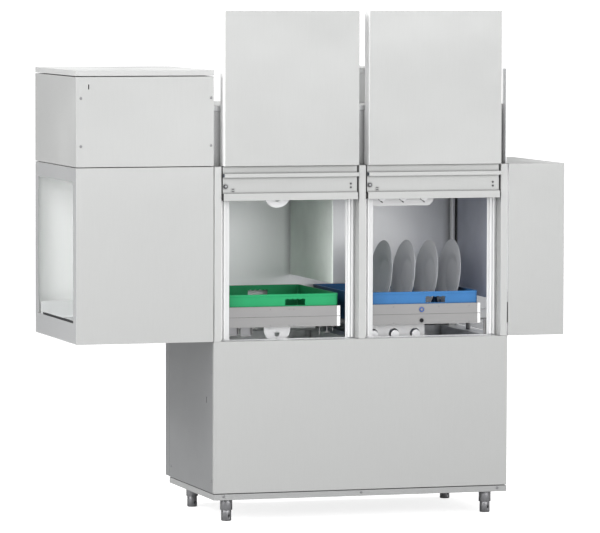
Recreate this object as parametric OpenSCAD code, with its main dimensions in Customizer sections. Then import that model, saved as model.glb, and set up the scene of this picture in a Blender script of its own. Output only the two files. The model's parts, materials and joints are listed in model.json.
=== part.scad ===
// Rack-conveyor dishwasher with two lift doors, an entry hood with a heat-recovery box, an exit hood,
// a wash zone and a rinse zone. Modules are drawn in machine coordinates: X to the right from the
// left side of the main body, Y back from its front, Z up from the floor. place() then moves the
// origin to the middle of the footprint, on the floor.

/* [Main body] */
// Width of the main body, which holds both zones
body_w = 1150; // [1140:5:1160]
// Depth of the base cabinet
body_d = 620; // [616:1:624]
// Height of the tunnel floor above the room floor
deck_z = 672; // [670:1:674]
// Height of the tunnel, from its floor to the top of the hoods
tunnel_h = 648; // [646:1:652]
// Thickness of the sheet metal
sheet = 2; // [1.5:0.5:2]

/* [Hoods] */
// Length of the entry hood on the left
entry_w = 525; // [480:5:560]
// Depth of the entry hood
entry_d = 626; // [624:1:640]
// Length of the exit hood on the right
exit_w = 225; // [215:5:300]
// Depth of the exit hood
exit_d = 575; // [574:1:590]
// Height of the heat-recovery box above the entry hood, with its cap
recovery_h = 357; // [340:1:380]
// Depth of the folded edge of the caps
cap_h = 22; // [18:1:26]

/* [Doors] */
// Width of one door
door_w = 520; // [518:1:522]
// Height of one door
door_h = 700; // [690:1:710]
// How far the doors stand forward of the cabinet
door_proud = 20; // [18:1:22]
// How far a door slides down from its raised place
door_travel = 518; // [505:1:518]

/* [Racks and plates] */
// Side of a square rack
rack_size = 500; // [498:1:500]
// Height of a rack
rack_h = 104; // [100:1:108]
// Height at which the racks stand
rack_z = 735; // [735:1:736]
// Distance from one rack to the next
rack_pitch = 552; // [545:1:552]
// Diameter of a plate
plate_d = 275; // [240:5:280]
// Lean of the plates from upright, in degrees
plate_lean = 7; // [5:1:8]

/* [Feet] */
// Height of the cabinet's underside above the floor
foot_h = 82; // [80:1:86]
// Diameter of the foot sleeve
sleeve_d = 46; // [44:1:50]
// Diameter of the adjustable foot
stem_d = 38; // [34:1:38]

/* [Hidden] */
$fn = 32;
eps = 1;
gap = 0.5;

// Main levels
deck_low = deck_z - 12;
tunnel_top = deck_z + tunnel_h;
chamber_top = tunnel_top + 204;
lid_h = 20;
box_top = tunnel_top + recovery_h;
box_seam = box_top - cap_h;

// Door openings and doors, placed about the middle of the main body
door_gap = 40;
door_x = [(body_w - door_gap) / 2 - door_w, (body_w + door_gap) / 2];
door_top = deck_z + 4 + door_travel + door_h;
door_low = door_top - door_h;
door_back = 40;
lip_h = 26;
panel_h = 60;
bar_h = 14;
skin_low = door_low + lip_h + panel_h + bar_h + 26;
window_margin = [40, 28];
frame_y = 58;
window_low = deck_z + 2;
window_top = door_low + 2;
guide_w = 16;
guide_y = 43;
guide_d = 14;
guide_low = deck_z + 4;
shoe_head = 12;
shoe_neck = 5;
shoe_levels = [20, 270];

// Tunnel
wall_y = 604;
wall_low = tunnel_top - 26;
rack_y = 69;
rack_x = [4, 4 + rack_pitch];
rack_wall = 3.5;
rail_y = 66;
rail_seam = rack_z + 19.5;
rail_top = rack_z + 58;
rail_low = rack_z - 18;
ledge_w = 24;

// Base cabinet
chase_d = 62;
chase_w = 300;
tray_h = 22;
panel_low = foot_h + tray_h + 1;
panel_top = deck_z - gap;
post = 30;
frame_x = [4, body_w - 4];
frame_y0 = 20;
frame_y1 = 600;
frame_z = foot_h + sheet;
foot_x = [62, body_w - 70];
foot_y = [50, 518];
foot_split = 41;

// Tanks
tank_y = [84, 556];
wash_tank_x = [74, 546];
rinse_tank_x = [606, 1074];
wash_tank_low = 330;
rinse_tank_low = 500;
rim = 14;
tray_z = 640;

// Spray arms
wash_arm_x = 281;
wash_arm_z = 704;
wash_upper_z = 1211;
wash_arm_y = [200, 330, 460];
wash_arm_l = 340;
rinse_lower_x = [659, 742, 825];
rinse_upper_x = [690, 773, 856];
rinse_lower_z = 676;
rinse_link_z = 698;
rinse_upper_z = 1195;
riser_y = 587;
wash_riser_x = 60;
rinse_riser_x = 1130;
plate_y = 118;

// Wash pump
pump = [300, 320, 200];
pump_pipe_z = 285;
suction_x = pump[0] - 160;

// Conveyor
bar_y = [98, 532];
bar_d = 10;
bar_z = 727;
bar_t = 5;
pawl_back = 34;
pawl_z = bar_z + 2.5;
pawl_pin = 4;
crank_at = [1104, 320];
crank_r = 42.5;
crank_z = 702;

// Curtains, which hang just below the end walls of the tunnel
curtain_x = [10, 478, body_w - 4];
curtain_z = wall_low - 10;
curtain_low = 876;
exit_curtain_low = 800;
curtain_rod = 8;
end_curtain_y = 568;

// Heat-recovery fan
fan_at = [-110, 313, 1488];
fan_d = 240;

// Places of the plates along the blue rack, from its middle
plate_step = 91;
plate_x0 = rack_x[1] + rack_size / 2 - 38;

module place() translate([(entry_w - exit_w - body_w) / 2, (door_proud - body_d - chase_d) / 2, 0]) children();

module block(x, y, z) translate([x[0], y[0], z[0]]) cube([x[1] - x[0], y[1] - y[0], z[1] - z[0]]);

module rod_x(x, y, z, d) translate([x[0], y, z]) rotate([0, 90, 0]) cylinder(d = d, h = x[1] - x[0]);

module rod_y(x, y, z, d) translate([x, y[0], z]) rotate([-90, 0, 0]) cylinder(d = d, h = y[1] - y[0]);

module rod_z(x, y, z, d) translate([x, y, z[0]]) cylinder(d = d, h = z[1] - z[0]);

// Box tube along X, Y or Z with the given wall
module tube_x(x, y, z, wall = 2) difference() {
    block(x, y, z);
    block([x[0] - eps, x[1] + eps], [y[0] + wall, y[1] - wall], [z[0] + wall, z[1] - wall]);
}

module tube_y(x, y, z, wall = 2) difference() {
    block(x, y, z);
    block([x[0] + wall, x[1] - wall], [y[0] - eps, y[1] + eps], [z[0] + wall, z[1] - wall]);
}

module tube_z(x, y, z, wall = 2) difference() {
    block(x, y, z);
    block([x[0] + wall, x[1] - wall], [y[0] + wall, y[1] - wall], [z[0] - eps, z[1] + eps]);
}

// Sheet-metal pan: a panel facing the front, with its four edges folded back
module front_pan(x, y, z) difference() {
    block(x, y, z);
    block([x[0] + sheet, x[1] - sheet], [y[0] + sheet, y[1] + eps], [z[0] + sheet, z[1] - sheet]);
}

// Sheet-metal lid: a panel facing up, with its four edges folded down
module lid_pan(x, y, z) difference() {
    block(x, y, z);
    block([x[0] + sheet, x[1] - sheet], [y[0] + sheet, y[1] - sheet], [z[0] - eps, z[1] - sheet]);
}

// ---- Base cabinet ----

module base_frame() color("silver") {
    for (y = [frame_y0, frame_y1 - post])
        tube_x(frame_x, [y, y + post], [frame_z, frame_z + post]);
    for (x = [frame_x[0], frame_x[1] - post])
        tube_y([x, x + post], [frame_y0 + post, frame_y1 - post], [frame_z, frame_z + post]);
    for (x = [frame_x[0], frame_x[1] - post], y = [frame_y0, frame_y1 - post])
        tube_z([x, x + post], [y, y + post], [frame_z + post, deck_low]);
    tube_x([frame_x[0] + post, frame_x[1] - post], [frame_y0, frame_y0 + post], [deck_low - post, deck_low]);
}

module base_tray() color("gainsboro") difference() {
    block([0, body_w], [0, body_d], [foot_h, foot_h + tray_h]);
    block([sheet, body_w - sheet], [sheet, body_d - sheet], [foot_h + sheet, foot_h + tray_h + eps]);
}

module cabinet_front() color("gainsboro") front_pan([0, body_w], [0, 18], [panel_low, panel_top]);

module cabinet_left() color("darkgray") {
    difference() {
        block([0, sheet], [18 + gap, body_d - sheet - gap], [panel_low, panel_top]);
        block([-eps, sheet + eps], [96, 102], [438, 460]);
    }
    block([sheet, 14], [body_d - 2 * sheet - gap, body_d - sheet - gap], [panel_low, deck_low]);
}

module cabinet_right() color("darkgray") {
    block([body_w - sheet, body_w], [18 + gap, body_d - sheet - gap], [panel_low, panel_top]);
    block([body_w - 14, body_w - sheet], [body_d - 2 * sheet - gap, body_d - sheet - gap], [panel_low, deck_low]);
}

stub_z = 190;
drain_x = 480;
inlet_x = 700;
gland_x = 920;
drain_d = 50;
inlet_d = 26.4;
gland_d = 32;

module cabinet_rear() color("darkgray") difference() {
    block([0, body_w], [body_d - sheet, body_d], [panel_low, panel_top]);
    rod_y(drain_x, [body_d - 10, body_d + 10], stub_z, drain_d + gap);
    rod_y(inlet_x, [body_d - 10, body_d + 10], stub_z, inlet_d + gap);
    rod_y(gland_x, [body_d - 10, body_d + 10], stub_z, gland_d + gap);
}

module service_chase() color("gray") difference() {
    block([sheet, chase_w], [body_d, body_d + chase_d], [foot_h + 24, deck_z - 4]);
    block([2 * sheet, chase_w - sheet], [body_d - eps, body_d + chase_d - sheet], [foot_h, deck_z - 4 - sheet]);
}

module foot_sleeves() color("dimgray") for (x = foot_x, y = foot_y) difference() {
    rod_z(x, y, [foot_split, foot_h], sleeve_d);
    rod_z(x, y, [foot_split - eps, foot_h - 12], stem_d + 0.16);
}

module foot_stems() color("silver") for (x = foot_x, y = foot_y) difference() {
    rod_z(x, y, [0, foot_h - 16], stem_d);
    rod_y(x, [y - stem_d, y + stem_d], foot_split / 2, 8);
}

// ---- Tanks, heating and pump inside the cabinet ----

module tunnel_deck() color("silver") difference() {
    block([sheet, body_w - sheet], [18 + gap, body_d - sheet - gap], [deck_low + gap, deck_z]);
    block([2 * sheet, body_w - 2 * sheet], [20 + gap, body_d - 2 * sheet - gap], [deck_low, deck_z - sheet]);
    for (x = [wash_tank_x, rinse_tank_x])
        block([x[0] + 2, x[1] - 2], [tank_y[0] + 2, tank_y[1] - 2], [deck_low, deck_z + eps]);
    rod_z(wash_riser_x, riser_y, [deck_low, deck_z + eps], 30.4);
    rod_z(crank_at[0], crank_at[1], [deck_low, deck_z + eps], 17);
}

// Open tank with a rim that hangs under the tunnel floor
module tank(x, low) difference() {
    union() {
        block(x, tank_y, [low, deck_z - sheet]);
        block([x[0] - rim, x[1] + rim], [tank_y[0] - rim, tank_y[1] + rim], [deck_z - 2 * sheet, deck_z - sheet]);
    }
    block([x[0] + sheet, x[1] - sheet], [tank_y[0] + sheet, tank_y[1] - sheet], [low + sheet, deck_z]);
}

module wash_tank() color("silver") difference() {
    tank(wash_tank_x, wash_tank_low);
    rod_z(suction_x, pump[1], [wash_tank_low - eps, wash_tank_low + 10], 58);
}

module rinse_tank() color("silver") tank(rinse_tank_x, rinse_tank_low);

tray_slots = 14;
module strainer_trays() color("dimgray") for (x = [wash_tank_x, rinse_tank_x])
    translate([x[0] + 4, tank_y[0] + 4, tray_z]) rotate([-4, 0, 0]) difference() {
        cube([x[1] - x[0] - 8, tank_y[1] - tank_y[0] - 10, sheet]);
        for (i = [0:tray_slots - 1], j = [0:1])
            translate([22 + i * 30, 25 + j * 215, -eps]) cube([14, 190, sheet + 2 * eps]);
    }

module tank_heaters() color("dimgray") for (y = [220, 420]) {
    for (dy = [-25, 25])
        rod_x([wash_tank_x[0] + 10, 420], y + dy, 400, 10);
    translate([420, y, 400]) rotate([0, 0, -90]) rotate_extrude(angle = 180) translate([25, 0]) circle(d = 10);
    rod_x([wash_tank_x[0] + sheet, wash_tank_x[0] + 10], y, 400, 80);
}

// Hollow boiler with a flange at its end and two pipe connections on top
module booster_heater() color("darkgray") {
    difference() {
        union() {
            rod_x([620, 1040], 320, 260, 220);
            for (x = [700, 940])
                rod_z(x, 320, [360, 400], 26);
        }
        rod_x([623, 1037], 320, 260, 214);
        for (x = [700, 940])
            rod_z(x, 320, [350, 401], 20);
    }
    rod_x([1040, 1052], 320, 260, 130);
    for (x = [680, 960])
        block([x, x + 20], [260, 380], [frame_z, 180]);
}

module electrical_box() color("lightgray") {
    difference() {
        block([640, 1100], [40, 150], [130, 470]);
        block([641.5, 1098.5], [42, 148.5], [131.5, 468.5]);
        rod_z(870, 95, [120, 140], 24);
    }
    block([636, 1104], [36, 40], [126, 474]);
}

module wash_pump() color("steelblue") difference() {
    union() {
        rod_x([pump[0] - 80, pump[0]], pump[1], pump[2], 220);
        rod_x([pump[0] - 120, pump[0] - 80], pump[1], pump[2], 70);
        rod_x([pump[0], pump[0] + 220], pump[1], pump[2], 150);
        block([pump[0] + 20, pump[0] + 200], [pump[1] - 70, pump[1] + 70], [frame_z, 150]);
        rod_y(pump[0] - 40, [pump[1], pump[1] + 140], pump_pipe_z, 44);
    }
    rod_x([pump[0] - 70, pump[0] - 10], pump[1], pump[2], 190);
    rod_x([pump[0] - 121, pump[0] - 60], pump[1], pump[2], 56);
    rod_x([pump[0] - 20, pump[0] + 160], pump[1], pump[2], 16.1);
    rod_y(pump[0] - 40, [pump[1], pump[1] + 141], pump_pipe_z, 26);
}

module wash_impeller() color("silver") {
    rod_x([pump[0] - 50, pump[0] + 158], pump[1], pump[2], 16);
    rod_x([pump[0] - 24, pump[0] - 18], pump[1], pump[2], 170);
    rod_x([pump[0] - 55, pump[0] - 18], pump[1], pump[2], 40);
    for (a = [0:60:300])
        translate([pump[0] - 50, pump[1], pump[2]]) rotate([a, 0, 0]) translate([0, 16, -2]) cube([30, 66, 4]);
}

// Suction from the wash tank, and delivery to the lower and upper wash arms
module pump_pipes() color("silver") {
    difference() {
        union() {
            rod_z(suction_x, pump[1], [pump[2] - 32, wash_tank_low], 64);
            rod_x([suction_x - 32, pump[0] - 120], pump[1], pump[2], 64);
        }
        rod_z(suction_x, pump[1], [pump[2] - 29, wash_tank_low + eps], 58);
        rod_x([suction_x - 29, pump[0] - 119], pump[1], pump[2], 58);
    }
    difference() {
        wash_delivery(30, 0);
        wash_delivery(25, eps);
    }
}

module wash_delivery(d, past) {
    rod_y(pump[0] - 40, [pump[1] + 140 - past, riser_y], pump_pipe_z, d);
    rod_x([wash_riser_x, pump[0] - 40], riser_y, pump_pipe_z, d);
    rod_z(wash_riser_x, riser_y, [pump_pipe_z, wash_upper_z], d);
    for (z = [wash_arm_z, wash_upper_z])
        rod_x([wash_riser_x, wash_arm_x], riser_y, z, d);
    for (p = [[pump[0] - 40, pump_pipe_z], [wash_riser_x, pump_pipe_z], [wash_riser_x, wash_upper_z],
              [wash_arm_x, wash_arm_z], [wash_arm_x, wash_upper_z]])
        translate([p[0], riser_y, p[1]]) sphere(d = d);
}

// ---- Spray arms ----

// Feed pipe along Y with three spray tubes across it, and jets on the side that points at the rack
module wash_arm_set(z, way) {
    rod_y(wash_arm_x, [plate_y + 14, riser_y - 15], z, 26);
    for (y = wash_arm_y) {
        rod_x([wash_arm_x - wash_arm_l / 2, wash_arm_x + wash_arm_l / 2], y, z, 22);
        for (dx = [-140, -85, -30, 30, 85, 140])
            translate([wash_arm_x + dx, y, z]) rotate([way > 0 ? 0 : 180, 0, 0]) cylinder(d = 12, h = 18);
    }
}

module wash_arms() color("silver") {
    wash_arm_set(wash_arm_z, 1);
    wash_arm_set(wash_upper_z, -1);
}

// Rinse tubes along Y, fed from a header and a riser at the back
module rinse_arms() color("silver") {
    for (x = rinse_lower_x) {
        rod_y(x, [plate_y - 4, 540], rinse_lower_z, 32);
        rod_z(x, 524, [rinse_lower_z, rinse_link_z], 24);
        rod_y(x, [524, riser_y], rinse_link_z, 20);
    }
    for (x = rinse_upper_x)
        rod_y(x, [plate_y - 4, riser_y], rinse_upper_z, 32);
    rod_x([rinse_lower_x[0], rinse_riser_x], riser_y, rinse_link_z, 20);
    rod_x([rinse_upper_x[0], rinse_riser_x], riser_y, rinse_upper_z, 20);
    rod_z(rinse_riser_x, riser_y, [rinse_link_z, rinse_upper_z], 20);
}

module wash_disc(z) difference() {
    rod_y(wash_arm_x, [plate_y + 8, plate_y + 14], z, 104);
    rod_y(wash_arm_x, [plate_y, plate_y + 20], z - 20, 20);
}

module spray_end_plates() color("whitesmoke") {
    intersection() {
        wash_disc(wash_arm_z + 2);
        block([0, body_w], [0, body_d], [0, rack_z - 9]);
    }
    wash_disc(wash_upper_z);
    difference() {
        block([rinse_lower_x[0] - 34, 860], [plate_y, plate_y + 3], [tray_z + 4, rack_z - 13]);
        for (x = rinse_lower_x)
            rod_y(x, [plate_y - eps, plate_y + 4], rinse_lower_z, 32.4);
    }
    difference() {
        translate([0, plate_y + 3, 0]) rotate([90, 0, 0]) linear_extrude(3)
            polygon([[651, rinse_upper_z - 34], [876, rinse_upper_z - 34], [893, rinse_upper_z - 17],
                     [893, rinse_upper_z + 30], [651, rinse_upper_z + 30]]);
        for (x = rinse_upper_x)
            rod_y(x, [plate_y - eps, plate_y + 4], rinse_upper_z, 32.4);
    }
}

// ---- Rack rails and conveyor ----

// Front rail of one zone: an upper and a lower band with a ledge for the rack
module front_rail(x) {
    block(x, [rail_y, rail_y + sheet], [rail_seam + gap, rail_top]);
    block(x, [rail_y, rail_y + sheet], [rail_low, rail_seam - gap]);
    block(x, [rail_y + sheet, rail_y + sheet + ledge_w], [rack_z - 3, rack_z - 1]);
    block(x, [rail_y + sheet, rail_y + 2 * sheet], [rack_z - 3, rack_z - 1]);
    block(x, [rail_y + sheet - gap, rail_y + sheet + 0.6], [rail_seam - 4, rail_seam + 4]);
}

module rack_rails() color("lightgray") {
    for (x = [[-entry_w + 8, -2], [2, 510], [564, 1065], [body_w + 2, body_w + exit_w - 8]])
        front_rail(x);
    block([-entry_w + 8, body_w + exit_w - 8], [570, 571.5], [rack_z - 3, rail_top]);
    block([-entry_w + 8, body_w + exit_w - 8], [570 - ledge_w, 570], [rack_z - 3, rack_z - 1]);
    for (x = [-entry_w + 30, -60, 20, 564, 1080, body_w + 40, body_w + exit_w - 40]) {
        block([x, x + 20], [560, 568], [deck_z + sheet, rack_z - 3]);
        block([x, x + 20], [rail_y + sheet, rail_y + 8], [deck_z + sheet, rack_z - 3]);
    }
}

stud_x = 831;
module rail_studs() color("royalblue") {
    difference() {
        rod_y(stud_x, [rail_y - 3, rail_y], 771.5, 20);
        rod_y(stud_x, [rail_y - 4, rail_y - 1], 771.5, 11);
    }
    rod_y(stud_x, [rail_y - 3, rail_y], 730.5, 15);
}

// Low-friction blocks under the carriage's two bars
module carriage_slides() color("white") for (x = [40, 575, 1110], y = bar_y)
    block([x - 12, x + 12], [y - 4, y + bar_d + 4], [deck_z, bar_z - 0.3]);

yoke_x = [crank_at[0] - crank_r - 14, crank_at[0] - crank_r + 14];
module carriage() color("silver") difference() {
    union() {
        for (y = bar_y)
            block([-70, 1120], [y, y + bar_d], [bar_z, bar_z + bar_t]);
        for (x = [60, 572])
            block([x, x + 16], [bar_y[0] + bar_d, bar_y[1]], [bar_z, bar_z + 4]);
        block(yoke_x, [bar_y[0] + bar_d, bar_y[1]], [bar_z, bar_z + 4]);
    }
    block([yoke_x[0] + 6, yoke_x[1] - 6], [crank_at[1] - 52, crank_at[1] + 52], [bar_z - eps, bar_z + 5]);
    for (x = rack_x, y = bar_y)
        rod_y(x - pawl_back, [y - eps, y + bar_d + eps], pawl_z, pawl_pin + 0.1);
}

// Two dogs on one cross shaft: they push the rack forward, tip over on the way back, and their
// heavy tails turn them upright again
module pawl(x) translate([x - pawl_back, 0, 0]) {
    rod_y(0, [bar_y[0], bar_y[1] + bar_d], pawl_z, pawl_pin);
    for (y = [200, 434])
        translate([0, y, pawl_z]) rotate([90, 0, 0]) linear_extrude(12, center = true)
            polygon([[-5, 6], [0, 22], [7, 22], [5, 0], [9, -26], [-9, -26], [-5, 0]]);
}

module pawl_wash() color("dimgray") pawl(rack_x[0]);

module pawl_rinse() color("dimgray") pawl(rack_x[1]);

module gearmotor() color("slategray") difference() {
    union() {
        rod_z(crank_at[0], crank_at[1], [400, 560], 56);
        block([1079, 1129], [285, 365], [560, 655]);
        block([1089, 1119], [290, 350], [655, deck_z - sheet]);
    }
    rod_z(crank_at[0], crank_at[1], [590, deck_z], 16.1);
}

module crank() color("silver") {
    rod_z(crank_at[0], crank_at[1], [595, crank_z], 16);
    rod_z(crank_at[0], crank_at[1], [crank_z, crank_z + 8], 34);
    block([crank_at[0] - crank_r, crank_at[0]], [crank_at[1] - 9, crank_at[1] + 9], [crank_z, crank_z + 8]);
    rod_z(crank_at[0] - crank_r, crank_at[1], [crank_z, crank_z + 8], 18);
    rod_z(crank_at[0] - crank_r, crank_at[1], [crank_z + 8, bar_z - 1], 14);
}

// ---- Tunnel ----

post_w = 26;
module door_posts() color("gainsboro") for (x = [2, (body_w - post_w) / 2, body_w - post_w - 2])
    tube_z([x, x + post_w], [0, frame_y - gap], [deck_z, tunnel_top], 1.5);

module front_frame() color("gainsboro") difference() {
    block([sheet, body_w - sheet], [frame_y, frame_y + sheet], [deck_z, chamber_top]);
    for (x = door_x)
        block([x + window_margin[0], x + door_w - window_margin[1]], [frame_y - eps, frame_y + 3],
              [window_low, window_top]);
}

// Channels on each side of both doors, with a slot towards the door
module door_guides() color("gainsboro") for (x = door_x, dx = [4, door_w - 4 - guide_w])
    translate([x + dx, 0, 0]) difference() {
        block([0, guide_w], [guide_y, guide_y + guide_d], [guide_low, chamber_top]);
        block([1.5, guide_w - 1.5], [guide_y + 1.5, guide_y + guide_d - 1.5], [guide_low - eps, chamber_top + eps]);
        block([(guide_w - 6) / 2, (guide_w + 6) / 2], [guide_y - eps, guide_y + 3], [guide_low - eps, chamber_top + eps]);
    }

// The rear wall, the end walls above the curtains and a strip beside the shallower exit hood
module tunnel_walls() color("silver") {
    block([sheet, body_w - sheet], [wall_y, wall_y + sheet], [deck_z, chamber_top]);
    block([0, sheet - 0.1], [frame_y + sheet + gap, wall_y + sheet], [wall_low, chamber_top]);
    block([body_w - sheet + 0.1, body_w], [frame_y + sheet + gap, wall_y + sheet], [wall_low, chamber_top]);
    block([body_w - sheet + 0.1, body_w], [exit_d - sheet, wall_y + sheet], [deck_z + gap, curtain_z - curtain_rod]);
    block([body_w - 4, body_w], [frame_y - 38, frame_y - gap], [tunnel_top + gap, box_top]);
}

module tunnel_roof() color("silver") {
    block([sheet + gap, body_w - sheet - gap], [frame_y + sheet, wall_y - gap], [tunnel_top - sheet, tunnel_top]);
    lid_pan([0, body_w - 4 - gap], [frame_y - sheet, wall_y + 2 * sheet], [chamber_top, chamber_top + lid_h]);
}

collar_at = [875, 430];
collar_d = 160;
dryer_x = [600, body_w];
dryer_y = [260, wall_y + 2 * sheet];
module dryer_housing() color("silver") {
    tube_z(dryer_x, dryer_y, [chamber_top + lid_h, box_seam - gap]);
    difference() {
        lid_pan(dryer_x, dryer_y, [box_seam, box_top]);
        rod_z(collar_at[0], collar_at[1], [box_seam, box_top + eps], collar_d - 4);
    }
    difference() {
        rod_z(collar_at[0], collar_at[1], [box_top, box_top + 40], collar_d);
        rod_z(collar_at[0], collar_at[1], [box_top - eps, box_top + 41], collar_d - 4);
    }
}

// ---- Entry hood with the heat-recovery box ----

module hood_sleeve(x, d, top) {
    block(x, [0, sheet], [deck_z, tunnel_top]);
    block(x, [d - sheet, d], [deck_z, tunnel_top]);
    block(x, [sheet + 0.2, d - sheet - 0.2], [deck_z, deck_z + sheet]);
    block(x, [sheet + 0.2, d - sheet - 0.2], [top - sheet, top]);
}

// Frame around the open end of a hood; the rear margin may be 0
end_front = 45;
end_low = 76;
end_top = 53;
module hood_end(x, d, rear) difference() {
    block([x, x + sheet], [sheet + 0.2, d - sheet - 0.2], [deck_z + sheet + 0.2, tunnel_top - sheet - 0.2]);
    block([x - eps, x + 3], [end_front, rear > 0 ? d - rear : d], [deck_z + end_low, tunnel_top - end_top]);
}

module entry_hood() color("gainsboro") hood_sleeve([-entry_w, -gap], entry_d, tunnel_top);

module entry_hood_end() color("gainsboro") hood_end(-entry_w, entry_d, 46);

module recovery_front() color("gainsboro") difference() {
    front_pan([-entry_w, -gap], [0, 20], [tunnel_top + gap, box_seam - gap]);
    block([-479, -475], [-eps, sheet + eps], [box_seam - 47, box_seam - 29]);
}

module recovery_shell() color("darkgray")
    tube_z([-entry_w, -gap], [20 + gap, entry_d], [tunnel_top + gap, box_seam - gap]);

module recovery_cap() color("whitesmoke") lid_pan([-entry_w, -gap], [0, entry_d], [box_seam, box_top]);

module recovery_coil() color("peru") {
    for (i = [0:13])
        block([-480, -300], [90 + i * 34, 91.5 + i * 34], [1370, 1600]);
    for (x = [-440, -340], z = [1410, 1485, 1560])
        rod_y(x, [80, 545], z, 16);
    for (x = [-480, -302])
        block([x, x + 2], [80, 545], [tunnel_top, 1370]);
}

module recovery_fan() color("lightgray") difference() {
    union() {
        rod_x([fan_at[0] - 120, fan_at[0]], fan_at[1], fan_at[2], 300);
        rod_x([fan_at[0], fan_at[0] + 90], fan_at[1], fan_at[2], 120);
        block([fan_at[0] - 100, fan_at[0] - 10], [fan_at[1] - 110, fan_at[1] + 110], [tunnel_top, fan_at[2] - 90]);
    }
    rod_x([fan_at[0] - 114, fan_at[0] - 6], fan_at[1], fan_at[2], 270);
    rod_x([fan_at[0] - 121, fan_at[0] - 100], fan_at[1], fan_at[2], 180);
    rod_x([fan_at[0] - 7, fan_at[0] + 60], fan_at[1], fan_at[2], 14.1);
}

module fan_wheel() color("gray") {
    rod_x([fan_at[0] - 40, fan_at[0] + 58], fan_at[1], fan_at[2], 14);
    rod_x([fan_at[0] - 24, fan_at[0] - 20], fan_at[1], fan_at[2], fan_d);
    for (a = [0:15:345])
        translate([fan_at[0] - 100, fan_at[1], fan_at[2]]) rotate([a, 0, 0])
            translate([0, fan_d / 2 - 24, -1]) cube([77, 22, 2]);
    translate([fan_at[0] - 104, fan_at[1], fan_at[2]]) rotate([0, 90, 0]) difference() {
        cylinder(d = fan_d, h = 4);
        translate([0, 0, -eps]) cylinder(d = fan_d - 48, h = 6);
    }
}

// ---- Exit hood ----

module exit_hood() color("gainsboro") {
    hood_sleeve([body_w + gap, body_w + exit_w], exit_d, tunnel_top);
    hood_end(body_w + exit_w - sheet, exit_d, 0);
}

// ---- Splash curtains ----

module curtain_rods() color("silver") for (x = curtain_x)
    rod_y(x, [frame_y + sheet, wall_y], curtain_z, curtain_rod);

module curtain(x, back, low) difference() {
    union() {
        rod_y(x, [64, back], curtain_z, curtain_rod + 6);
        block([x - 1, x + 1], [64, back], [low, curtain_z]);
    }
    rod_y(x, [60, back + eps], curtain_z, curtain_rod + 0.16);
}

module curtain_entry() color("slategray") curtain(curtain_x[0], end_curtain_y, curtain_low);

module curtain_middle() color("slategray") curtain(curtain_x[1], wall_y - 2, curtain_low);

module curtain_exit() color("slategray") curtain(curtain_x[2], end_curtain_y, exit_curtain_low);

// ---- Lift doors ----

module door_skin(x) front_pan([x, x + door_w], [-door_proud, door_back - sheet - gap], [skin_low, door_top]);

// Back plate of the door, and the four shoes that run in the guides
module door_liner(x) {
    block([x, x + door_w], [door_back - sheet, door_back], [door_low, door_top]);
    for (dx = [4, door_w - 4 - guide_w], dz = shoe_levels)
        translate([x + dx + guide_w / 2, 0, door_low + dz]) {
            block([-shoe_neck / 2, shoe_neck / 2], [door_back, guide_y + 2], [0, 40]);
            block([-shoe_head / 2, shoe_head / 2], [guide_y + 2, guide_y + guide_d - 2], [0, 40]);
        }
}

// Folded lower part of the door: recessed bands, the hollow handle bar and the bottom lip
module door_handle(x) {
    recess = 7;
    wide = [x, x + door_w];
    bar_low = door_low + lip_h + panel_h;
    block(wide, [recess, recess + sheet], [door_low + lip_h, skin_low - gap]);
    tube_x(wide, [-door_proud, recess], [bar_low, bar_low + bar_h], 1.5);
    tube_x(wide, [-8, door_back - sheet], [door_low, door_low + lip_h], 1.5);
    for (side = [0, 1])
        block([x + side * (door_w - sheet), x + sheet + side * (door_w - sheet)],
              [recess + sheet, door_back - sheet], [door_low + lip_h, skin_low - gap]);
    rod_y(x + 10, [2, recess], door_low + 52, 15);
    for (dz = [32, 40])
        block([x + 32, x + 46], [recess - 1.5, recess], [door_low + dz, door_low + dz + 4]);
    for (dz = [44, 58])
        rod_y(x + door_w - 24, [recess - 2, recess], door_low + dz, 6);
}

module door_left_skin() color("gainsboro") door_skin(door_x[0]);

module door_left_liner() color("silver") door_liner(door_x[0]);

module door_left_handle() color("lightgray") door_handle(door_x[0]);

module door_right_skin() color("gainsboro") door_skin(door_x[1]);

module door_right_liner() color("silver") door_liner(door_x[1]);

module door_right_handle() color("lightgray") door_handle(door_x[1]);

// ---- Racks and plates ----

hole_w = 78;
hole_h = 25;
hole_off = 81;
grid_n = 7;

// Open rack with a grid floor and a hand hole in each side
module rack(x) translate([x, rack_y, rack_z]) difference() {
    cube([rack_size, rack_size, rack_h]);
    translate([rack_wall, rack_wall, 6]) cube([rack_size - 2 * rack_wall, rack_size - 2 * rack_wall, rack_h]);
    for (i = [0:grid_n - 1], j = [0:grid_n - 1])
        translate([16 + i * 68, 16 + j * 68, -eps]) cube([60, 60, 8]);
    translate([rack_size / 2 + hole_off - hole_w / 2, -eps, 62]) cube([hole_w, rack_size + 2 * eps, hole_h]);
    translate([-eps, (rack_size - hole_w) / 2, 62]) cube([rack_size + 2 * eps, hole_w, hole_h]);
}

module rack_green() color("mediumseagreen") rack(rack_x[0]);

// The blue rack also has pegs on its floor bars; the plates lean back on them
module rack_blue() color("dodgerblue") {
    rack(rack_x[1]);
    for (i = [-1:6], j = [1:grid_n - 1])
        translate([plate_x0 + i * plate_step / 2 - 16, rack_y + 12 + j * 68, rack_z]) cylinder(d = 6, h = 58);
}

// Dinner plates with a raised rim, standing on edge and leaning to the right
module plates() color("whitesmoke") for (i = [0:3])
    translate([plate_x0 + i * plate_step, rack_y + rack_size / 2, rack_z + 8 + plate_d / 2])
        rotate([0, plate_lean - 90, 0]) rotate_extrude($fn = 96)
            polygon([[0, 0], [62, 0], [84, 9], [plate_d / 2 - 2, 16], [plate_d / 2, 18], [plate_d / 2 - 1, 20],
                     [82, 13], [60, 5], [0, 5]]);

// ---- Screws and connections ----

module screw_y(x, z) rod_y(x, [-1.5, 0], z, 9);

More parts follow.
